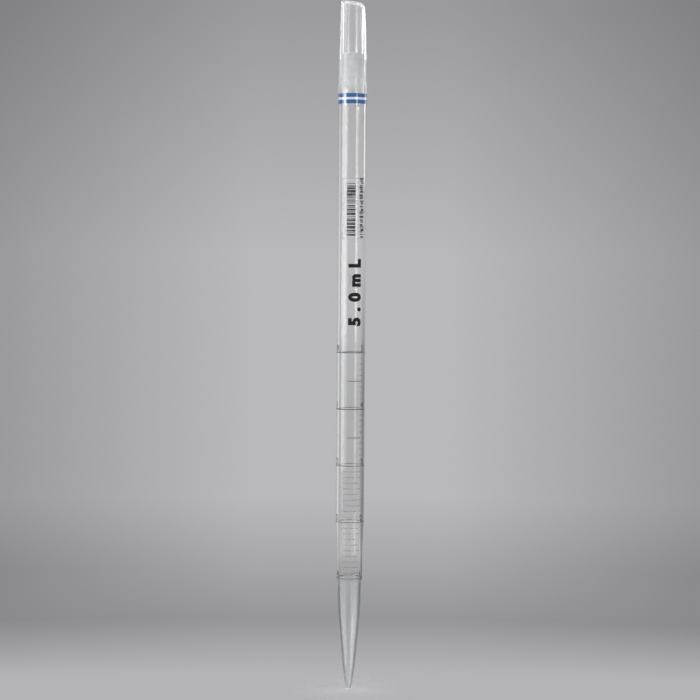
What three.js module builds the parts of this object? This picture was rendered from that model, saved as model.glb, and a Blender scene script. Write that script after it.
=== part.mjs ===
// A clear plastic serological pipette, 5 mL, short style.
// Millimetres, +Z up the axis, origin at the centre of the tip's end face, printed front towards -Y.
import * as THREE from 'three';

// ---- driving dimensions -------------------------------------------------------------------
const LENGTH = 236.4; // tip end face to the highest point of the mouthpiece
const BARREL_OUTER_R = 4.9;
const BORE_R = 4.045;
const ML_PITCH = 1000 / (Math.PI * BORE_R ** 2); // length of bore that holds one millilitre
const TIP_WELD_Z = 37.8; // lower end of the barrel
const NECK_WELD_Z = 216.3; // upper end of the barrel
const TIP_MARK_Z = 38.7; // the 4 mL ring, just above the tip weld
const TIP_END_DRAW = 0.52; // how far the outside is drawn in above the tip weld
const TIP_DRAW_LOW_Z = 44;
const TIP_DRAW_LENGTH = 18;
const TIP_DRAW_STEPS = 6;
const NECK_END_DRAW = 0.16; // how far the outside is drawn in below the neck weld
const NECK_DRAW_LOW_Z = 203;
const NECK_DRAW_STEPS = 4;
const FIT_GAP = 0.05; // radial room of a spigot in the barrel's bore
const SEAM_GAP = 0.03; // axial room at a welded shoulder
const SIDES = 40; // facets round every turned piece

const MOUTH_BORE_R = 3.1;
const MOUTH_RIM_R = 4.22;
const LIP_R = 0.5; // rounding of the lip's outer edge
const LIP_STEPS = 4;
const INNER_LIP_R = 0.2;
const INNER_LIP_STEPS = 2;
const NECK_STEPS = 8; // pieces of the neck's outside curve
const SPIGOT_LENGTH = 13;
const SPIGOT_LEAD = 0.25; // chamfer at the spigot's end, across
const SPIGOT_LEAD_LENGTH = 0.5; // and along
const SLANT = 0.13; // fall of the rim across the mouthpiece, per millimetre towards +X
const BEVEL = 0.5; // further fall of the rim's +X side, per square millimetre
const BEVEL_START_X = 2.5;
const SLANT_DEPTH = 10; // the slant dies out this far below the rim
const SLANT_FULL = 8.5; // and reaches its full fall over this length

const PLUG_R = 3.04;
const PLUG_LENGTH = 13;
const PLUG_EDGE_R = 0.6;
const PLUG_EDGE_STEPS = 3;
const PLUG_INSET = 2.5; // the plug's lower face sits this far above the spigot's end

const TIP_SPIGOT_LENGTH = 1.2;
const TIP_SPIGOT_LEAD = 0.2;
const TIP_SPIGOT_LEAD_LENGTH = 0.3;
const TIP_WALL = 0.58;
const ORIFICE_R = 0.5;
const TIP_STEPS = 18; // pieces of the tip's outside curve
const TIP_BORE_STEPS = 12;

const INK_GAP = 0.03;
const INK_THICK = 0.06;
const RING_WIDTH = 0.3;
const BAND_WIDTH = 1.3;
const WHITE_WIDTH = 0.76;
const BANDS_MID_Z = 203.05;
const FILM_GAP = 0.05; // room under the film
const FILM_THICK = 0.07;
const FILM_STEPS = 14;
const FILM_LOW_Z = 155.3;
const FILM_HIGH_Z = 176;
const FILM_ARC_DEG = 100;
const FILM_MID_DEG = 10; // turned this far from the front towards +X

// ---- outlines, as (radius, z) -------------------------------------------------------------
const smooth = (t) => {
  const s = Math.min(1, Math.max(0, t));
  return s * s * (3 - 2 * s);
};

// The barrel is straight, and its outside is drawn in a little towards each weld.
function barrelOuterR(z) {
  const low = TIP_END_DRAW * (1 - smooth((z - TIP_DRAW_LOW_Z) / TIP_DRAW_LENGTH));
  const high = NECK_END_DRAW * smooth((z - NECK_DRAW_LOW_Z) / (NECK_WELD_Z - NECK_DRAW_LOW_Z));
  return BARREL_OUTER_R - low - high;
}

const TIP_OUTLINE = new THREE.CatmullRomCurve3(
  [[1.03, 0], [1.45, 2.8], [1.9, 6.2], [2.28, 9.7], [2.9, 16.6], [3.5, 23.2], [3.82, 28.5],
    [3.95, 33.5], [4.03, TIP_WELD_Z]].map(([r, z]) => new THREE.Vector3(r, 0, z)),
);

const NECK_OUTLINE = new THREE.CatmullRomCurve3(
  [[4.7, NECK_WELD_Z + SEAM_GAP], [4.57, 222.5], [4.4, 230], [MOUTH_RIM_R, LENGTH - LIP_R]]
    .map(([r, z]) => new THREE.Vector3(r, 0, z)),
);

const curvePoints = (curve, steps) =>
  curve.getPoints(steps).map((p) => new THREE.Vector2(p.x, p.z));

// Quarter round from angle `from` to `to` in degrees, 0 pointing outwards and 90 up.
function arcPoints(r, z, radius, from, to, steps) {
  const points = [];
  for (let i = 0; i <= steps; i += 1) {
    const a = THREE.MathUtils.degToRad(from + ((to - from) * i) / steps);
    points.push(new THREE.Vector2(r + radius * Math.cos(a), z + radius * Math.sin(a)));
  }
  return points;
}

// ---- solids -------------------------------------------------------------------------------
// Turns a closed outline of (radius, z) points about Z. LatheGeometry turns about Y, so the
// result is stood up; the outline runs anticlockwise with radius to the right and z up.
function turned(outline) {
  const first = outline[0];
  const last = outline[outline.length - 1];
  const onAxis = first.x === 0 && last.x === 0;
  const closed = onAxis ? outline : [...outline, first.clone()];
  return new THREE.LatheGeometry(closed, SIDES).rotateX(Math.PI / 2);
}

function mouthpieceSolid() {
  const spigotR = BORE_R - FIT_GAP;
  const spigotZ = NECK_WELD_Z - SPIGOT_LENGTH;
  const lip = arcPoints(MOUTH_RIM_R - LIP_R, LENGTH - LIP_R, LIP_R, 0, 90, LIP_STEPS).slice(1);
  const innerLip = arcPoints(
    MOUTH_BORE_R + INNER_LIP_R, LENGTH - INNER_LIP_R, INNER_LIP_R, 90, 180, INNER_LIP_STEPS,
  );
  const geometry = turned([
    new THREE.Vector2(MOUTH_BORE_R, spigotZ),
    new THREE.Vector2(spigotR - SPIGOT_LEAD, spigotZ),
    new THREE.Vector2(spigotR, spigotZ + SPIGOT_LEAD_LENGTH),
    new THREE.Vector2(spigotR, NECK_WELD_Z + SEAM_GAP),
    ...curvePoints(NECK_OUTLINE, NECK_STEPS),
    ...lip,
    ...innerLip,
    new THREE.Vector2(MOUTH_BORE_R, LENGTH - SLANT_DEPTH),
  ]);
  return slantRim(geometry);
}

// The rim isn't square to the axis: it falls towards +X, and its outer corner there is bevelled.
function slantRim(geometry) {
  const position = geometry.attributes.position;
  for (let i = 0; i < position.count; i += 1) {
    const x = position.getX(i);
    const z = position.getZ(i);
    const share = smooth((z - (LENGTH - SLANT_DEPTH)) / SLANT_FULL);
    const fall = SLANT * (x + MOUTH_RIM_R) + BEVEL * Math.max(0, x - BEVEL_START_X) ** 2;
    position.setZ(i, z - share * fall);
  }
  return geometry;
}

function barrelSolid() {
  const stations = [TIP_WELD_Z];
  for (let i = 0; i <= TIP_DRAW_STEPS; i += 1) {
    stations.push(TIP_DRAW_LOW_Z + (TIP_DRAW_LENGTH * i) / TIP_DRAW_STEPS);
  }
  for (let i = 0; i <= NECK_DRAW_STEPS; i += 1) {
    stations.push(NECK_DRAW_LOW_Z + ((NECK_WELD_Z - NECK_DRAW_LOW_Z) * i) / NECK_DRAW_STEPS);
  }
  const outer = stations.map((z) => new THREE.Vector2(barrelOuterR(z), z));
  const foot = new THREE.Vector2(BORE_R, TIP_WELD_Z);
  const head = new THREE.Vector2(BORE_R, NECK_WELD_Z);
  return turned([foot, ...outer, head]);
}

function tipSolid() {
  const outer = curvePoints(TIP_OUTLINE, TIP_STEPS);
  const shoulderZ = TIP_WELD_Z - SEAM_GAP;
  const topZ = TIP_WELD_Z + TIP_SPIGOT_LENGTH;
  const spigotR = BORE_R - FIT_GAP;
  outer[outer.length - 1].y = shoulderZ;
  const inner = curvePoints(TIP_OUTLINE, TIP_BORE_STEPS)
    .slice(1)
    .reverse()
    .map((p) => new THREE.Vector2(Math.max(ORIFICE_R, p.x - TIP_WALL), p.y));
  return turned([
    ...outer,
    new THREE.Vector2(spigotR, topZ - TIP_SPIGOT_LEAD_LENGTH),
    new THREE.Vector2(spigotR - TIP_SPIGOT_LEAD, topZ),
    new THREE.Vector2(inner[0].x, topZ),
    ...inner,
    new THREE.Vector2(ORIFICE_R, 0),
  ]);
}

function plugSolid() {
  const low = NECK_WELD_Z - SPIGOT_LENGTH + PLUG_INSET;
  const high = low + PLUG_LENGTH;
  return turned([
    new THREE.Vector2(0, low),
    ...arcPoints(PLUG_R - PLUG_EDGE_R, low + PLUG_EDGE_R, PLUG_EDGE_R, -90, 0, PLUG_EDGE_STEPS),
    ...arcPoints(PLUG_R - PLUG_EDGE_R, high - PLUG_EDGE_R, PLUG_EDGE_R, 0, 90, PLUG_EDGE_STEPS),
    new THREE.Vector2(0, high),
  ]);
}

// A printed band right round the barrel, following its taper.
function bandSolid(midZ, width) {
  const low = midZ - width / 2;
  const high = midZ + width / 2;
  const lowR = barrelOuterR(low) + INK_GAP;
  const highR = barrelOuterR(high) + INK_GAP;
  return turned([
    new THREE.Vector2(lowR, low),
    new THREE.Vector2(lowR + INK_THICK, low),
    new THREE.Vector2(highR + INK_THICK, high),
    new THREE.Vector2(highR, high),
  ]);
}

// A film patch bent round the front of the barrel.
function filmSolid() {
  const innerR = BARREL_OUTER_R + FILM_GAP;
  const outerR = innerR + FILM_THICK;
  const half = THREE.MathUtils.degToRad(FILM_ARC_DEG / 2);
  const shape = new THREE.Shape();
  shape.absarc(0, 0, outerR, -half, half, false);
  shape.absarc(0, 0, innerR, half, -half, true);
  const geometry = new THREE.ExtrudeGeometry(shape, {
    depth: FILM_HIGH_Z - FILM_LOW_Z,
    bevelEnabled: false,
    curveSegments: FILM_STEPS,
  });
  return geometry
    .rotateZ(THREE.MathUtils.degToRad(FILM_MID_DEG - 90))
    .translate(0, 0, FILM_LOW_Z);
}

// ---- assembly -----------------------------------------------------------------------------
const CLEAR_PLASTIC = { color: 0xdfe6ea, roughness: 0.08, metalness: 0 };
const FIBRE = { color: 0xf2f3f2, roughness: 0.95, metalness: 0 };
const BLUE_INK = { color: 0x285394, roughness: 0.4, metalness: 0 };
const WHITE_INK = { color: 0xf0f4f6, roughness: 0.45, metalness: 0 };
const GREY_INK = { color: 0x4a4d50, roughness: 0.5, metalness: 0 };
const FILM = { color: 0xf4f5f5, roughness: 0.3, metalness: 0 };

const pipette = new THREE.Group();

function add(name, geometry, finish) {
  const mesh = new THREE.Mesh(geometry, new THREE.MeshStandardMaterial(finish));
  mesh.name = name;
  pipette.add(mesh);
}

add('mouthpiece', mouthpieceSolid(), CLEAR_PLASTIC);
add('filter_plug', plugSolid(), FIBRE);
add('barrel', barrelSolid(), CLEAR_PLASTIC);
add('tip', tipSolid(), CLEAR_PLASTIC);

const bandStep = (BAND_WIDTH + WHITE_WIDTH) / 2 + INK_GAP;
add('colour_band_upper', bandSolid(BANDS_MID_Z + bandStep, BAND_WIDTH), BLUE_INK);
add('white_band', bandSolid(BANDS_MID_Z, WHITE_WIDTH), WHITE_INK);
add('colour_band_lower', bandSolid(BANDS_MID_Z - bandStep, BAND_WIDTH), BLUE_INK);

for (let ml = 0; ml <= 4; ml += 1) {
  const z = TIP_MARK_Z + (4 - ml) * ML_PITCH;
  add(`graduation_ring_${ml}`, bandSolid(z, RING_WIDTH), GREY_INK);
}

add('label_film', filmSolid(), FILM);

export default pipette;
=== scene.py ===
"""Looks for the graduated pipette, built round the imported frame.

Metres, +Z up the bore, printed front towards -Y. Angles round the barrel are in degrees from the
front, positive towards +X. Outlines are written in millimetres, as (radius, height).
"""

import math
import random

import bmesh
import bpy
from mathutils import Matrix, Vector, noise


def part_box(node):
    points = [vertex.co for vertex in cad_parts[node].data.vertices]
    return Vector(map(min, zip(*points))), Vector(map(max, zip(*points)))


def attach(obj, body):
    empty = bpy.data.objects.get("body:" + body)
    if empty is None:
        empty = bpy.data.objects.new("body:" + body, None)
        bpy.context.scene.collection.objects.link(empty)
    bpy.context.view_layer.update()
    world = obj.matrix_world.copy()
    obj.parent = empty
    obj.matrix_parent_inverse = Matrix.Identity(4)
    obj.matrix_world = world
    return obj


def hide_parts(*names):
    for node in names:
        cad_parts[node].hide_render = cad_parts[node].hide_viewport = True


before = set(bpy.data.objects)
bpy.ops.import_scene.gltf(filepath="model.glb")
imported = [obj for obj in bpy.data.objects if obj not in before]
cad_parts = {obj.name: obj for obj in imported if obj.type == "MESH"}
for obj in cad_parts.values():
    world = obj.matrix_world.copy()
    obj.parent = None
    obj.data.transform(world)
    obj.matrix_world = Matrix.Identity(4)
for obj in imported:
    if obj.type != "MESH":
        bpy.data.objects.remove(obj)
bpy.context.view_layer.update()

MM = 0.001
BODY = "tube_body"
PLUG_BODY = "plug"


def node_span(node):
    """Largest radius, lowest and highest z of a CAD node, in millimetres."""
    low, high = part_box(node)
    return max(high.x, -low.x, high.y, -low.y) / MM, low.z / MM, high.z / MM


# ---- driving dimensions, from the frame where it holds them ---------------------------------
BARREL_R, BARREL_LOW, BARREL_HIGH = node_span("barrel")
TIP_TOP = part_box("tip")[1].z / MM
SPIGOT_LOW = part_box("mouthpiece")[0].z / MM
_, PLUG_LOW, PLUG_HIGH = node_span("filter_plug")
_, FILM_LOW, FILM_HIGH = node_span("label_film")
RING_Z = [sum(node_span(f"graduation_ring_{ml}")[1:]) / 2 for ml in range(5)]
ML_PITCH = (RING_Z[0] - RING_Z[4]) / 4

BORE_R = 4.045
FIT_GAP = 0.05
SEAM_GAP = 0.03
MOUTH_BORE_R = 3.1
MOUTH_RIM_R = 4.22
RIM_Z = 236.4
LIP_R = 0.5
SLANT = 0.13
BEVEL = 0.5
BEVEL_START_X = 2.5
SLANT_DEPTH = 10
TIP_WALL = 0.58
ORIFICE_R = 0.5
TIP_END_DRAW = 0.52
TIP_DRAW_LOW = 44
TIP_DRAW_LENGTH = 18
NECK_END_DRAW = 0.16
NECK_DRAW_LOW = 203
INK_GAP = 0.012
INK_THICK = 0.028
TURNS = 192  # steps round a turned piece
MARK_STEP_DEG = 3  # the longest straight piece of a printed patch, round the barrel
LETTER_SLICE = 0.3  # letters are cut into slices this wide, so that they bend round the barrel
RIM_FROST_DEPTH = 2.5
RIM_FROST_SLOPE = 0.25  # faces that point up more steeply than this are frosted
STRANDS = 150
STRAND_R = 0.018
STRAND_POINTS = 7


# ---- outlines -------------------------------------------------------------------------------
def smooth(t):
    s = min(1.0, max(0.0, t))
    return s * s * (3 - 2 * s)


def barrel_outer_r(z):
    """The barrel is straight, drawn in a little at its top end and over its last 24 mm."""
    low = TIP_END_DRAW * (1 - smooth((z - TIP_DRAW_LOW) / TIP_DRAW_LENGTH))
    high = NECK_END_DRAW * smooth((z - NECK_DRAW_LOW) / (BARREL_HIGH - NECK_DRAW_LOW))
    return BARREL_R - low - high


def through(points, steps):
    """A smooth curve through (radius, z) points, Catmull-Rom, with `steps` pieces to a span."""
    ends = [points[0]] + points + [points[-1]]
    out = []
    for i in range(len(points) - 1):
        p0, p1, p2, p3 = (Vector(p) for p in ends[i:i + 4])
        for k in range(steps):
            t = k / steps
            out.append(0.5 * (2 * p1 + (p2 - p0) * t + (2 * p0 - 5 * p1 + 4 * p2 - p3) * t ** 2
                              + (3 * p1 - p0 - 3 * p2 + p3) * t ** 3))
    out.append(Vector(points[-1]))
    return [(p.x, p.y) for p in out]


def arc(r, z, radius, start, end, steps):
    out = []
    for i in range(steps + 1):
        a = math.radians(start + (end - start) * i / steps)
        out.append((r + radius * math.cos(a), z + radius * math.sin(a)))
    return out


TIP_OUTLINE = through([(1.03, 0), (1.45, 2.8), (1.9, 6.2), (2.28, 9.7), (2.9, 16.6),
                       (3.5, 23.2), (3.82, 28.5), (3.95, 33.5), (4.03, BARREL_LOW)], 5)
NECK_WELD_LOW = SPIGOT_LOW + 0.5
TIP_WELD_HIGH = TIP_TOP - 0.3
NECK_OUTLINE = through([(4.7, BARREL_HIGH + SEAM_GAP), (4.57, 222.5), (4.4, 230),
                        (MOUTH_RIM_R, RIM_Z - LIP_R)], 8)


# ---- mesh helpers ---------------------------------------------------------------------------
def finish_mesh(name, mesh_bm, crease_deg=35):
    """Turns a bmesh in millimetres into a smooth-shaded object in metres."""
    bmesh.ops.remove_doubles(mesh_bm, verts=mesh_bm.verts, dist=1e-5)
    bmesh.ops.recalc_face_normals(mesh_bm, faces=mesh_bm.faces)
    bmesh.ops.scale(mesh_bm, vec=(MM, MM, MM), verts=mesh_bm.verts)
    mesh = bpy.data.meshes.new(name)
    mesh_bm.to_mesh(mesh)
    mesh_bm.free()
    mesh.shade_smooth()
    mesh.set_sharp_from_angle(angle=math.radians(crease_deg))
    piece = bpy.data.objects.new(name, mesh)
    bpy.context.scene.collection.objects.link(piece)
    return piece


def add_turned(bm, outline, turns=TURNS):
    """Turns a closed outline about Z into `bm`; points on the axis merge to one vertex later."""
    rings = []
    for k in range(turns):
        a = 2 * math.pi * k / turns
        rings.append([bm.verts.new((r * math.cos(a), r * math.sin(a), z)) for r, z in outline])
    count = len(outline)
    for k in range(turns):
        here, after = rings[k], rings[(k + 1) % turns]
        for i in range(count):
            j = (i + 1) % count
            if outline[i][0] == 0 and outline[j][0] == 0:
                continue
            bm.faces.new((here[i], after[i], after[j], here[j]))


def turned(name, outline, turns=TURNS, crease_deg=35):
    bm = bmesh.new()
    add_turned(bm, outline, turns)
    return finish_mesh(name, bm, crease_deg)


def on_barrel(angle_deg, z, lift):
    r = barrel_outer_r(z) + lift
    a = math.radians(angle_deg)
    return Vector((r * math.sin(a), -r * math.cos(a), z))


def add_mark(bm, from_deg, to_deg, low, high, gap=INK_GAP, thick=INK_THICK):
    """A thin printed patch lying on the barrel, as a closed slab."""
    steps = max(1, math.ceil((to_deg - from_deg) / MARK_STEP_DEG))
    rows = []
    for i in range(steps + 1):
        a = from_deg + (to_deg - from_deg) * i / steps
        rows.append([bm.verts.new(on_barrel(a, z, lift)) for z, lift in (
            (low, gap), (low, gap + thick), (high, gap + thick), (high, gap))])
    for i in range(steps):
        for j in range(4):
            k = (j + 1) % 4
            bm.faces.new((rows[i][j], rows[i + 1][j], rows[i + 1][k], rows[i][k]))
    bm.faces.new(rows[0])
    bm.faces.new(rows[-1])


def marks(name, patches, **options):
    bm = bmesh.new()
    for patch in patches:
        add_mark(bm, *patch, **options)
    return finish_mesh(name, bm)


def printed_band(name, node, gap=INK_GAP, thick=INK_THICK, edge=0.0):
    """A full-turn printed band where the CAD node is; `edge` lets its edges wander a little."""
    _, low, high = node_span(node)
    bm = bmesh.new()
    rows = []
    for k in range(TURNS):
        a = 360 * k / TURNS
        wander = edge * noise.noise(Vector((math.cos(math.radians(a)) * 2.1, low, a / 90)))
        rows.append([bm.verts.new(on_barrel(a, z, lift)) for z, lift in (
            (low + wander, gap), (low + wander, gap + thick),
            (high + wander, gap + thick), (high + wander, gap))])
    for k in range(TURNS):
        after = rows[(k + 1) % TURNS]
        for j in range(4):
            i = (j + 1) % 4
            bm.faces.new((rows[k][j], after[j], after[i], rows[k][i]))
    return finish_mesh(name, bm)


def lettering(name, text, height, angle_deg, z, upright=True, weight=0.0, spacing=1.0):
    """Generic lettering printed on the barrel. Upright text reads across the barrel; the other
    kind reads up it. `height` is the height of a capital in millimetres."""
    curve = bpy.data.curves.new(name + "_outline", "FONT")
    curve.body = text
    curve.size = height / 0.7
    curve.space_character = spacing
    curve.offset = weight
    curve.align_x = "CENTER"
    curve.resolution_u = 4
    holder = bpy.data.objects.new(name + "_outline", curve)
    bpy.context.scene.collection.objects.link(holder)
    bpy.context.view_layer.update()
    graph = bpy.context.evaluated_depsgraph_get()
    flat = bpy.data.meshes.new_from_object(holder.evaluated_get(graph))
    bpy.data.objects.remove(holder)
    bpy.data.curves.remove(curve)
    bm = bmesh.new()
    bm.from_mesh(flat)
    bpy.data.meshes.remove(flat)
    bmesh.ops.remove_doubles(bm, verts=bm.verts, dist=1e-5)
    bmesh.ops.triangulate(bm, faces=bm.faces)
    across = Vector((1, 0, 0)) if upright else Vector((0, 1, 0))
    reach = max(abs(v.co.dot(across)) for v in bm.verts)
    cut = -reach
    while cut < reach:
        cut += LETTER_SLICE
        bmesh.ops.bisect_plane(bm, geom=bm.verts[:] + bm.edges[:] + bm.faces[:], dist=1e-6,
                               plane_co=across * cut, plane_no=across)
    base = bm.faces[:]
    copied = bmesh.ops.duplicate(bm, geom=base)
    top_of = copied["vert_map"]
    middle = height / 2
    turn_per_mm = math.degrees(1 / BARREL_R)
    raised = {top_of[v] for face in base for v in face.verts if v in top_of}
    places = {}
    for v in bm.verts:
        x, y = v.co.x, v.co.y - middle
        lift = INK_GAP + (INK_THICK if v in raised else 0)
        turn, rise = (x, y) if upright else (-y, x)
        places[v] = on_barrel(angle_deg + turn * turn_per_mm, z + rise, lift)
    base_edges = dict.fromkeys(e for face in base for e in face.edges)  # in a fixed order
    open_edges = [e for e in base_edges if len(e.link_faces) == 1]
    for e in open_edges:
        a, b = e.verts
        bm.faces.new((a, b, top_of[b], top_of[a]))
    for v, place in places.items():
        v.co = place
    return finish_mesh(name, bm)


def rest_on(piece, nodes, material, body=BODY):
    piece.data.materials.clear()
    piece.data.materials.append(material)
    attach(piece, body)
    if nodes:
        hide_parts(*nodes)
    return piece


# ---- materials ------------------------------------------------------------------------------
def new_material(name, **values):
    """A Principled material with plain numbers on its own sockets."""
    material = bpy.data.materials.new(name)
    material.use_nodes = True
    shader = material.node_tree.nodes["Principled BSDF"]
    for socket, value in values.items():
        shader.inputs[socket.replace("_", " ")].default_value = value
    return material, material.node_tree, shader


def texture(tree, scale, detail=2.0, stretch=(1, 1, 1), offset=(0, 0, 0)):
    """Noise in object space, so it stays with the piece."""
    coords = tree.nodes.new("ShaderNodeTexCoord")
    mapping = tree.nodes.new("ShaderNodeMapping")
    mapping.inputs["Scale"].default_value = stretch
    mapping.inputs["Location"].default_value = offset
    grain = tree.nodes.new("ShaderNodeTexNoise")
    grain.inputs["Scale"].default_value = scale
    grain.inputs["Detail"].default_value = detail
    tree.links.new(coords.outputs["Object"], mapping.inputs["Vector"])
    tree.links.new(mapping.outputs["Vector"], grain.inputs["Vector"])
    return grain.outputs["Fac"]


def remap(tree, value, low, high, from_low=0.3, from_high=0.7):
    node = tree.nodes.new("ShaderNodeMapRange")
    node.inputs["From Min"].default_value = from_low
    node.inputs["From Max"].default_value = from_high
    node.inputs["To Min"].default_value = low
    node.inputs["To Max"].default_value = high
    tree.links.new(value, node.inputs["Value"])
    return node.outputs["Result"]


def blend_colour(tree, value, first, second):
    node = tree.nodes.new("ShaderNodeMix")
    node.data_type = "RGBA"
    node.inputs["A"].default_value = (*first, 1)
    node.inputs["B"].default_value = (*second, 1)
    tree.links.new(value, node.inputs["Factor"])
    return node.outputs["Result"]


def bump(tree, shader, value, strength, distance):
    node = tree.nodes.new("ShaderNodeBump")
    node.inputs["Strength"].default_value = strength
    node.inputs["Distance"].default_value = distance
    tree.links.new(value, node.inputs["Height"])
    tree.links.new(node.outputs["Normal"], shader.inputs["Normal"])


def clear_material(name, rough, clear, hazy, stretch, bump_distance, clarity=1.0):
    """Clear polystyrene: its tint drifts from `clear` to `hazy`, and flow lines ripple the skin."""
    material, tree, shader = new_material(name, Transmission_Weight=clarity, IOR=1.585)
    grain = texture(tree, 900, stretch=stretch)
    tree.links.new(remap(tree, grain, *rough), shader.inputs["Roughness"])
    haze = texture(tree, 90, stretch=stretch, offset=(0.3, 0.1, 0.7))
    tree.links.new(blend_colour(tree, remap(tree, haze, 0, 1), clear, hazy),
                   shader.inputs["Base Color"])
    bump(tree, shader, texture(tree, 420, stretch=stretch), 0.35, bump_distance)
    return material


def ink_material(name, colour, faded, wear, cover=(1.0, 1.0), rough=(0.34, 0.6), varnish=0.0,
                 gloss=0.5):
    """Printed ink: tone and thickness vary, and `cover` is the range of its opacity."""
    material, tree, shader = new_material(name, Coat_Weight=varnish, Coat_Roughness=0.03,
                                          Specular_IOR_Level=gloss)
    patchy = texture(tree, 2600, detail=4)
    tree.links.new(blend_colour(tree, remap(tree, patchy, 0, wear), colour, faded),
                   shader.inputs["Base Color"])
    tree.links.new(remap(tree, patchy, *rough), shader.inputs["Roughness"])
    if min(cover) < 1:
        thin = texture(tree, 700, detail=3, offset=(1.7, 0.2, 0.4))
        tree.links.new(remap(tree, thin, *cover), shader.inputs["Alpha"])
    bump(tree, shader, patchy, 0.3, 0.00001)
    return material


def fibre_material():
    material, tree, shader = new_material("fibre", Sheen_Weight=0.35, Specular_IOR_Level=0.2)
    strands = texture(tree, 2400, detail=5, stretch=(1, 1, 0.35))
    clumps = texture(tree, 700, detail=2)
    tree.links.new(blend_colour(tree, remap(tree, clumps, 0, 1), (0.63, 0.64, 0.64),
                                (0.53, 0.54, 0.55)), shader.inputs["Base Color"])
    tree.links.new(remap(tree, strands, 0.85, 1.0), shader.inputs["Roughness"])
    bump(tree, shader, strands, 0.6, 0.00006)
    # The fibres are packed at the top of the plug and thin out towards its lower end.
    coords = tree.nodes.new("ShaderNodeTexCoord")
    split = tree.nodes.new("ShaderNodeSeparateXYZ")
    tree.links.new(coords.outputs["Object"], split.inputs["Vector"])
    packed = remap(tree, split.outputs["Z"], 0.1, 0.9,
                   (PLUG_LOW + 0.5) * MM, (PLUG_HIGH - 1.5) * MM)
    ragged = tree.nodes.new("ShaderNodeMath")
    ragged.operation = "MULTIPLY_ADD"
    tree.links.new(strands, ragged.inputs[0])
    ragged.inputs[1].default_value = 0.35
    tree.links.new(packed, ragged.inputs[2])
    tree.links.new(remap(tree, ragged.outputs[0], 0, 1, 0.12, 1.15), shader.inputs["Alpha"])
    return material


barrel_clear = clear_material("drawn_styrene", (0.015, 0.05),
                              (0.972, 0.972, 0.957), (0.95, 0.952, 0.938), (1, 1, 0.02), 4e-6)
neck_clear = clear_material("moulded_styrene", (0.03, 0.07),
                            (0.99, 0.99, 0.975), (0.972, 0.974, 0.962), (1, 1, 0.06), 3e-6)
tip_clear = clear_material("moulded_tip_styrene", (0.05, 0.12),
                           (0.985, 0.998, 0.984), (0.958, 0.977, 0.963), (1, 1, 0.1), 5e-6)
frosted = clear_material("cut_edge_styrene", (0.45, 0.6),
                         (0.98, 0.985, 0.985), (0.95, 0.96, 0.96), (1, 1, 1), 2e-5, clarity=0.45)
welded, _, _ = new_material("welded_styrene", Transmission_Weight=1.0, IOR=1.0, Roughness=0.0,
                            Base_Color=(1, 1, 1, 1))
fibre = fibre_material()
blue_ink = ink_material("blue_ink", (0.014, 0.09, 0.27), (0.03, 0.122, 0.33), 0.8,
                        rough=(0.08, 0.14), varnish=1.0, gloss=0.15)
white_ink = ink_material("white_ink", (0.74, 0.81, 0.92), (0.67, 0.74, 0.85), 0.8,
                         rough=(0.12, 0.2), varnish=1.0)
black_ink = ink_material("black_ink", (0.006, 0.006, 0.007), (0.02, 0.02, 0.021), 0.8, gloss=0.2)
bar_ink = ink_material("bar_ink", (0.015, 0.015, 0.016), (0.06, 0.06, 0.062), 1.0, (0.4, 1.0),
                       gloss=0.3)
grey_ink = ink_material("grey_ink", (0.05, 0.052, 0.055), (0.12, 0.12, 0.125), 1.0, (0.4, 0.8))
pale_ink = ink_material("pale_ink", (0.055, 0.057, 0.06), (0.13, 0.13, 0.135), 1.0, (0.3, 0.62))
faint_ink = ink_material("faint_ink", (0.1, 0.1, 0.105), (0.18, 0.18, 0.185), 1.0, (0.06, 0.36))
edge_line = ink_material("label_edge_line", (0.2, 0.2, 0.21), (0.3, 0.3, 0.31), 1.0, (0.1, 0.5))
film_clear = ink_material("label_film_clear", (0.8, 0.82, 0.83), (0.9, 0.91, 0.92), 1.0,
                          (0.05, 0.1))


# ---- clear pieces ---------------------------------------------------------------------------
def fuse(piece, low, high, radius):
    """Faces of a welded joint, where spigot and barrel have melted into one, don't bend or reflect
    light. They lie about `radius` from the axis, between two heights."""
    piece.data.materials.append(welded)
    for face in piece.data.polygons:
        centre = face.center / MM
        if low < centre.z < high and abs(math.hypot(centre.x, centre.y) - radius) < 2 * FIT_GAP:
            face.material_index = 1


def make_barrel():
    low = [BARREL_LOW + i for i in range(0, 26)]
    high = [202 + 1.5 * i for i in range(0, 10)] + [BARREL_HIGH]
    outer = [(barrel_outer_r(z), z) for z in low + high]
    bore = [(BORE_R, z) for z in (BARREL_HIGH, NECK_WELD_LOW, TIP_WELD_HIGH, BARREL_LOW)]
    return turned("barrel_tube", outer + bore)


def frost_rim(piece):
    """The rim is a cut edge, so its upward faces scatter light."""
    piece.data.materials.append(frosted)
    for face in piece.data.polygons:
        if face.center.z / MM > RIM_Z - RIM_FROST_DEPTH and face.normal.z > RIM_FROST_SLOPE:
            face.material_index = 2


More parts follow.
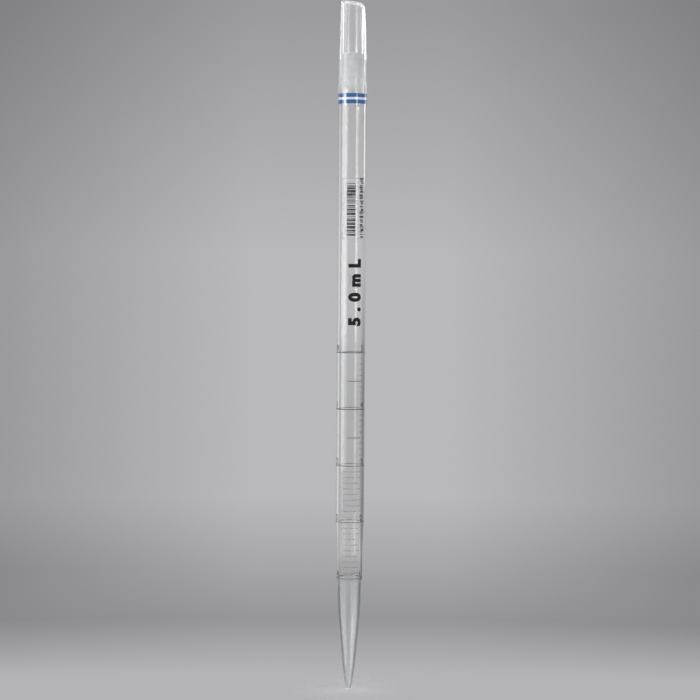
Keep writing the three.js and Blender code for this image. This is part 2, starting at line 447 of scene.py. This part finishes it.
def make_mouthpiece():
    spigot_r = BORE_R - FIT_GAP
    lip = arc(MOUTH_RIM_R - LIP_R, RIM_Z - LIP_R, LIP_R, 0, 90, 8)[1:]
    inner_lip = arc(MOUTH_BORE_R + 0.2, RIM_Z - 0.2, 0.2, 90, 180, 5)
    bore = [(MOUTH_BORE_R, RIM_Z - 1 - i) for i in range(0, 11)]
    piece = turned("mouthpiece_moulding", [
        (MOUTH_BORE_R, SPIGOT_LOW), (spigot_r - 0.25, SPIGOT_LOW), (spigot_r, NECK_WELD_LOW),
        (spigot_r, BARREL_HIGH + SEAM_GAP), *NECK_OUTLINE, *lip, *inner_lip, *bore])
    for v in piece.data.vertices:
        x, z = v.co.x / MM, v.co.z / MM
        share = smooth((z - (RIM_Z - SLANT_DEPTH)) / (SLANT_DEPTH - 1.5))
        fall = SLANT * (x + MOUTH_RIM_R) + BEVEL * max(0, x - BEVEL_START_X) ** 2
        v.co.z -= share * fall * MM
    return piece


def make_tip():
    spigot_r = BORE_R - FIT_GAP
    outer = TIP_OUTLINE[:-1] + [(TIP_OUTLINE[-1][0], BARREL_LOW - SEAM_GAP)]
    inner = [(max(ORIFICE_R, r - TIP_WALL), z) for r, z in reversed(TIP_OUTLINE[1:])]
    return turned("tip_moulding", [
        *outer, (spigot_r, TIP_WELD_HIGH), (spigot_r - 0.2, TIP_TOP), (inner[0][0], TIP_TOP),
        *inner, (ORIFICE_R, 0)])


def make_plug():
    """Pressed fibre: a rounded plug with a lumpy skin, squeezed flat against the bore's wall, so
    most of its side touches the plastic and is seen right through it."""
    edge = 0.6
    inset = MOUTH_BORE_R + 0.02
    side_steps = 40
    side_low, side_high = PLUG_LOW + edge, PLUG_HIGH - edge
    side = [(inset, side_low + (side_high - side_low) * i / side_steps)
            for i in range(1, side_steps)]
    outline = [(0, PLUG_LOW), (inset * 0.3, PLUG_LOW), (inset * 0.6, PLUG_LOW),
               *arc(inset - edge, side_low, edge, -90, 0, 6), *side,
               *arc(inset - edge, side_high, edge, 0, 90, 6),
               (inset * 0.6, PLUG_HIGH), (inset * 0.3, PLUG_HIGH), (0, PLUG_HIGH)]
    bm = bmesh.new()
    add_turned(bm, outline, 96)
    bmesh.ops.remove_doubles(bm, verts=bm.verts, dist=1e-5)
    for v in bm.verts:
        r = math.hypot(v.co.x, v.co.y)
        lump = noise.fractal(v.co * 1.6, 1.0, 2.0, 4)
        if r > 0.01:
            shrink = 1 - 0.006 * max(0, lump) * min(1, r)
            v.co.x *= shrink
            v.co.y *= shrink
        if v.co.z > side_high:
            v.co.z -= 0.25 * abs(lump)
        if v.co.z < side_low:
            v.co.z += 0.25 * abs(lump)
    return finish_mesh("fibre_plug", bm, 80)


def make_strands():
    """Loose fibres lying over the plug's ends."""
    draw = random.Random(7)
    bm = bmesh.new()
    for _ in range(STRANDS):
        top = draw.random() < 0.6
        z = PLUG_HIGH - 0.12 if top else PLUG_LOW + 0.12
        reach = draw.uniform(0.5, 1.5)
        turn = draw.uniform(0, 2 * math.pi)
        bend = draw.uniform(-1.2, 1.2)
        r0 = draw.uniform(0, 1.35)
        a0 = draw.uniform(0, 2 * math.pi)
        centre = Vector((r0 * math.cos(a0), r0 * math.sin(a0), z))
        rise = draw.uniform(0.0, 0.12) * (1 if top else -1)
        path = []
        for i in range(STRAND_POINTS):
            t = i / (STRAND_POINTS - 1) - 0.5
            a = turn + bend * t
            path.append(centre + Vector((math.cos(a), math.sin(a), 0)) * reach * t
                        + Vector((0, 0, rise * (1 - 4 * t * t))))
        add_strand(bm, path, STRAND_R)
    return finish_mesh("fibre_strands", bm, 80)


def add_strand(bm, path, radius):
    rings = []
    for i, p in enumerate(path):
        ahead = path[min(i + 1, len(path) - 1)] - path[max(i - 1, 0)]
        side = ahead.cross(Vector((0, 0, 1))).normalized()
        up = side.cross(ahead).normalized()
        rings.append([bm.verts.new(p + radius * (side * math.cos(a) + up * math.sin(a)))
                      for a in (0, math.pi / 2, math.pi, 3 * math.pi / 2)])
    for here, after in zip(rings, rings[1:]):
        for j in range(4):
            k = (j + 1) % 4
            bm.faces.new((here[j], after[j], after[k], here[k]))
    bm.faces.new(rings[0])
    bm.faces.new(rings[-1])


FILM_FROM, FILM_TO = -40, 60  # degrees round the barrel


def make_film():
    return marks("label_patch", [(FILM_FROM, FILM_TO, FILM_LOW, FILM_HIGH)],
                 gap=0.004, thick=0.006)


def film_border():
    """The film's cut edge shows as a hairline on its four sides."""
    line = 0.12
    turn = math.degrees(line / BARREL_R)
    return [(FILM_FROM, FILM_TO, FILM_LOW, FILM_LOW + line),
            (FILM_FROM, FILM_TO, FILM_HIGH - line, FILM_HIGH),
            (FILM_FROM, FILM_FROM + turn, FILM_LOW + line, FILM_HIGH - line),
            (FILM_TO - turn, FILM_TO, FILM_LOW + line, FILM_HIGH - line)]


barrel = rest_on(make_barrel(), ["barrel"], barrel_clear)
mouthpiece = rest_on(make_mouthpiece(), ["mouthpiece"], neck_clear)
tip = rest_on(make_tip(), ["tip"], tip_clear)
rest_on(make_plug(), ["filter_plug"], fibre, PLUG_BODY)
rest_on(make_strands(), [], fibre, PLUG_BODY)
fuse(barrel, NECK_WELD_LOW, BARREL_HIGH, BORE_R)
fuse(barrel, BARREL_LOW, TIP_WELD_HIGH, BORE_R)
fuse(mouthpiece, NECK_WELD_LOW, BARREL_HIGH, BORE_R)
fuse(tip, BARREL_LOW, TIP_WELD_HIGH, BORE_R)
frost_rim(mouthpiece)
for clear in (barrel, mouthpiece, tip):
    clear.visible_shadow = False  # clear plastic lets the studio light reach what is inside it


# ---- printing -------------------------------------------------------------------------------
def underlay(piece, material):
    """The inward faces of a printed band show the white coat that its colour is printed over."""
    piece.data.materials.append(material)
    for face in piece.data.polygons:
        if face.normal.dot(Vector((face.center.x, face.center.y, 0)).normalized()) < -0.5:
            face.material_index = 1


for which in ("upper", "lower"):
    node = f"colour_band_{which}"
    band = rest_on(printed_band(f"blue_band_{which}", node, edge=0.05), [node],
                   blue_ink)
    underlay(band, white_ink)
rest_on(printed_band("white_band_print", "white_band", edge=0.03), ["white_band"],
        white_ink)

for ml in range(5):
    node = f"graduation_ring_{ml}"
    ink = grey_ink if ml < 2 else pale_ink
    rest_on(printed_band(f"ring_print_{ml}", node), [node], ink)

LINE = 0.26  # thickness of a printed division


def division(tenths, from_deg, to_deg):
    z = RING_Z[0] - tenths * ML_PITCH / 10
    return from_deg, to_deg, z - LINE / 2, z + LINE / 2


halves = [division(n, -12, 44) for n in (5, 15)]
upper_tenths = [division(n, 38, 58) for n in range(1, 20) if n % 5]
lower_tenths = [division(n, -28, 44) for n in range(21, 40) if n % 10]
rest_on(marks("half_divisions", halves), [], pale_ink)
rest_on(marks("upper_divisions", upper_tenths), [], faint_ink)
rest_on(marks("lower_divisions", lower_tenths), [], faint_ink)

NUMERAL_HEIGHT = 2.1
for ml in range(5):
    z = RING_Z[ml] + 0.5 + NUMERAL_HEIGHT / 2
    rest_on(lettering(f"numeral_left_{ml}", str(ml), NUMERAL_HEIGHT, -66, z, weight=0.05),
            [], grey_ink)
    rest_on(lettering(f"numeral_right_{ml}", str(5 - ml), NUMERAL_HEIGHT, 52, z, weight=0.05),
            [], grey_ink)

rest_on(lettering("capacity_text", "5.0mL", 3.9, 14, 137.0, upright=False, weight=0.36,
                  spacing=1.78),
        [], black_ink)


def bar_pattern():
    """A meaningless ladder of bars and gaps, drawn from a fixed seed."""
    draw = random.Random(41)
    z = FILM_LOW + 1.1
    patches = []
    while z < FILM_HIGH - 1.6:
        thick = draw.choice((0.22, 0.22, 0.42, 0.65, 0.9))
        patches.append((-20, 15, z, z + thick))
        z += thick + draw.choice((0.22, 0.22, 0.35, 0.6))
    return patches


def dash_pattern():
    """Small dashes where a column of fine print would be; they spell nothing."""
    draw = random.Random(19)
    z = FILM_LOW + 0.4
    patches = []
    while z < FILM_HIGH - 0.3:
        length = draw.uniform(0.25, 0.8)
        start = 31 + draw.uniform(0, 8)
        patches.append((start, draw.uniform(47, 56), z, z + length))
        z += length + draw.choice((0.12, 0.12, 0.45))
    return patches


rest_on(make_film(), ["label_film"], film_clear)
rest_on(marks("label_border", film_border(), gap=INK_GAP, thick=0.01), [],
        edge_line)
rest_on(marks("label_bars", bar_pattern(), gap=0.014), [], bar_ink)
rest_on(marks("label_dashes", dash_pattern(), gap=0.014), [], bar_ink)


# ---- studio ---------------------------------------------------------------------------------
def grey(level):
    """Scene-linear value of a display grey from 0 to 255."""
    c = level / 255
    return ((c + 0.055) / 1.055) ** 2.4


def make_floor():
    bm = bmesh.new()
    bmesh.ops.create_circle(bm, cap_ends=True, segments=96, radius=400)
    floor = finish_mesh("floor", bm)
    floor.location.z = -0.00005
    material, tree, shader = new_material("floor_paper", Specular_IOR_Level=0.1)
    coords = tree.nodes.new("ShaderNodeTexCoord")
    length = tree.nodes.new("ShaderNodeVectorMath")
    length.operation = "LENGTH"
    tree.links.new(coords.outputs["Object"], length.inputs[0])
    fade = remap(tree, length.outputs["Value"], 1, 0, 0.006, 0.022)
    tree.links.new(fade, shader.inputs["Alpha"])
    paper = texture(tree, 260, detail=3)
    tree.links.new(blend_colour(tree, remap(tree, paper, 0, 1),
                                (0.6, 0.6, 0.61), (0.63, 0.63, 0.64)), shader.inputs["Base Color"])
    shader.inputs["Roughness"].default_value = 0.9
    floor.data.materials.append(material)
    floor.visible_transmission = False  # the clear tip would otherwise glow with the pale floor
    floor.visible_glossy = False


# Tones round the pipette, as (elevation in degrees, display grey). The backdrop stands behind it;
# the front is what the clear walls reflect. The backdrop's dip to 150 just below the horizon is
# painted shade at its foot, and its darkening upwards is painted fall-off of its light.
BACKDROP = [(-90, 180), (-12, 180), (-10.5, 150), (-7, 185), (0, 185), (7, 155), (90, 140)]
FRONT = [(-90, 180), (-9.5, 188), (-7.8, 178), (-6.5, 150), (-4.2, 145), (-1.6, 215), (3, 230),
         (90, 225)]
# To the camera, the backdrop darkens evenly towards both sides, a painted shade, as (x of the
# direction, share of its light).
FALLOFF = [(-1, 1), (-0.5, 0.8), (-0.2, 0.6), (-0.05, 1), (0.05, 1), (0.2, 0.6), (0.5, 0.8),
           (1, 1)]
# Dark flags beside the backdrop, as (x of the direction, share of the backdrop's light): one at
# the right for the barrel, one on each side for the tip.
BARREL_FLAGS = [(-1, 1), (0.18, 1), (0.34, 0.45), (0.86, 0.45), (0.95, 1), (1, 1)]
TIP_FLAGS = [(-1, 1), (-0.95, 1), (-0.86, 0.36), (-0.4, 0.36), (-0.24, 1), (0.2, 1), (0.38, 0.42),
             (0.86, 0.42), (0.95, 1), (1, 1)]
WHITE = (1, 1, 1, 1)
COOL_TINT = (1, 1, 1.045, 1)
RAMP_REACH = 0.4  # the ramps by height cover sines of elevation from minus this to plus this


def ramp(tree, value, low, high, stops):
    """A colour that follows `value` through (value, linear grey) stops between low and high."""
    node = tree.nodes.new("ShaderNodeValToRGB")
    elements = node.color_ramp.elements
    while len(elements) > 1:
        elements.remove(elements[-1])
    for i, (at, tone) in enumerate(stops):
        place = min(1, max(0, (at - low) / (high - low)))
        stop = elements[0] if i == 0 else elements.new(place)
        stop.position = place
        stop.color = (tone, tone, tone, 1)
    tree.links.new(remap(tree, value, 0, 1, low, high), node.inputs["Fac"])
    return node.outputs["Color"]


def mix(tree, share, first, second, kind="MIX"):
    node = tree.nodes.new("ShaderNodeMix")
    node.data_type = "RGBA"
    node.blend_type = kind
    for socket, value in (("Factor", share), ("A", first), ("B", second)):
        if isinstance(value, (int, float, tuple)):
            node.inputs[socket].default_value = value
        else:
            tree.links.new(value, node.inputs[socket])
    return node.outputs["Result"]


def sine(degrees):
    return math.sin(math.radians(degrees))


def make_world():
    world = bpy.data.worlds.new("studio")
    bpy.context.scene.world = world
    world.use_nodes = True
    tree = world.node_tree
    coords = tree.nodes.new("ShaderNodeTexCoord")
    split = tree.nodes.new("ShaderNodeSeparateXYZ")
    tree.links.new(coords.outputs["Generated"], split.inputs["Vector"])
    x, y, z = (split.outputs[axis] for axis in "XYZ")
    backdrop, front = (ramp(tree, z, -RAMP_REACH, RAMP_REACH,
                            [(sine(el), grey(level)) for el, level in tones])
                       for tones in (BACKDROP, FRONT))
    barrel_flags, tip_flags = (ramp(tree, x, -1, 1, flags) for flags in (BARREL_FLAGS, TIP_FLAGS))
    flags = mix(tree, remap(tree, z, 1, 0, sine(-10.1), sine(-9.6)), barrel_flags, tip_flags)
    flags = mix(tree, remap(tree, z, 0, 1, sine(-3.5), sine(-0.5)), flags, WHITE)
    flags = mix(tree, remap(tree, z, 1, 0, sine(-21), sine(-17)), flags, WHITE)
    behind = mix(tree, 1, backdrop, flags, "MULTIPLY")
    around = mix(tree, remap(tree, y, 0, 1, -0.2, 0.3), front, behind)
    path = tree.nodes.new("ShaderNodeLightPath")
    sides = ramp(tree, x, -1, 1, FALLOFF)
    falloff = mix(tree, remap(tree, z, 1, 0, sine(-12), sine(-9)), sides, WHITE)
    seen = mix(tree, 1, backdrop, falloff, "MULTIPLY")
    tone = mix(tree, path.outputs["Is Camera Ray"], around, seen)
    cool = mix(tree, 1, tone, COOL_TINT, "MULTIPLY")
    tree.links.new(cool, tree.nodes["Background"].inputs["Color"])


def panel(name, azimuth, distance, width_deg, low, high, radiance):
    """A soft rectangular light standing upright round the pipette and facing it. `azimuth` is
    from the front; `low` and `high` are heights in metres."""
    a = math.radians(azimuth)
    light = bpy.data.lights.new(name, "AREA")
    light.shape = "RECTANGLE"
    light.size = 2 * distance * math.tan(math.radians(width_deg / 2))
    light.size_y = high - low
    light.energy = radiance * math.pi * light.size * light.size_y
    lamp = bpy.data.objects.new(name, light)
    lamp.location = (distance * math.sin(a), -distance * math.cos(a), (low + high) / 2)
    lamp.rotation_euler = (math.pi / 2, 0, a)
    lamp.visible_camera = False
    bpy.context.scene.collection.objects.link(lamp)
    return lamp


def make_camera():
    distance, height = 0.68, 0.150
    pitch, roll = math.radians(2.758), math.radians(0.38)
    data = bpy.data.cameras.new("camera")
    data.lens = 101.83
    data.sensor_width = 36
    data.clip_start = 0.01
    camera = bpy.data.objects.new("camera", data)
    turn = Matrix.Rotation(math.pi / 2 - pitch, 4, "X") @ Matrix.Rotation(roll, 4, "Z")
    camera.matrix_world = Matrix.Translation((-0.0003, -distance, height)) @ turn
    bpy.context.scene.collection.objects.link(camera)
    bpy.context.scene.camera = camera


NEAR, FAR = 0.7, 0.9  # metres from the axis to the front lights and to the back ones
LEFT, STRIPE, RIGHT = -68, -49, 36  # azimuths of the softbox, of the stripe's lights, of glints
TIP_LOW, TIP_MIDDLE, TIP_HIGH = -0.30, -0.12, -0.09  # heights that the tip's walls reflect
BAND_LOW, BAND_HIGH, PLUG_TOP = 0.2535, 0.2675, 0.285  # heights that bands and plug reflect
NECK_LOW, NECK_MIDDLE, NECK_HIGH = 0.279, 0.31, 0.6  # heights that the neck's walls refract

make_floor()
make_world()
# The softbox at the left is widest and brightest at the height of the barrel.
for place, (low, high, width, radiance) in enumerate((
        (0.28, 0.42, 26, 2.4), (0.09, 0.28, 38, 5.0), (0.0, 0.09, 28, 4.3),
        (-0.03, 0.0, 22, 1.6))):
    softbox = panel(f"left_softbox_{place}", LEFT, NEAR, width, low, high, radiance)
    softbox.visible_transmission = False
    softbox.visible_diffuse = False
# A narrower one is seen in the bore's back wall, through the front wall.
for place, (low, high, radiance) in enumerate((
        (0.28, 0.42, 2.4), (0.09, 0.28, 3.6), (0.0, 0.09, 2.3), (-0.02, 0.0, 0.9))):
    stripe = panel(f"stripe_light_{place}", STRIPE, NEAR, 22, low, high, radiance)
    stripe.visible_glossy = False
# The tip's lights are dimmer at their top, which the barrel's drawn-in end reflects.
for tip_panel in (panel("tip_light", 45, NEAR, 60, TIP_LOW, TIP_MIDDLE, 1.9),
                  panel("tip_light_top", 45, NEAR, 60, TIP_MIDDLE, TIP_HIGH, 0.6),
                  panel("tip_left_light", -60, NEAR, 50, TIP_LOW, TIP_MIDDLE, 1.8),
                  panel("tip_left_light_top", -60, NEAR, 50, TIP_MIDDLE, TIP_HIGH, 0.7)):
    tip_panel.visible_transmission = False
panel("tip_edge_light", -104, NEAR, 16, TIP_LOW, TIP_HIGH, 1.0)
panel("back_left_low", -123, FAR, 22, NECK_LOW, NECK_MIDDLE, 0.75)
panel("back_left_high", -125, FAR, 26, NECK_MIDDLE, NECK_HIGH, 4.2)
panel("back_left_fill", -131, FAR, 24, -0.11, NECK_LOW, 0.25)
panel("back_right_low", 123, FAR, 22, NECK_LOW, NECK_MIDDLE, 1.3)
panel("back_right_high", 133, FAR, 40, NECK_MIDDLE, NECK_HIGH, 5.0)
panel("back_right_fill", 134, FAR, 14, 0.205, NECK_LOW, 0.75)
# Glints across the colour bands, and fainter ones that carry on up the plug.
panel("band_glint_left", -62, NEAR, 18, BAND_LOW, BAND_HIGH, 11)
panel("band_glint_right", RIGHT, NEAR, 11, BAND_LOW, BAND_HIGH, 10)
edge_glint = panel("band_edge_glint", 121, FAR, 9, 0.264, 0.281, 4.5)
edge_glint.visible_transmission = False
edge_glint.visible_diffuse = False
panel("plug_glint_left", -57, NEAR, 18, BAND_HIGH, PLUG_TOP, 2.0)
panel("plug_glint_right", RIGHT, NEAR, 11, BAND_HIGH, PLUG_TOP, 0.7)
make_camera()
bpy.context.scene.view_settings.view_transform = "Standard"
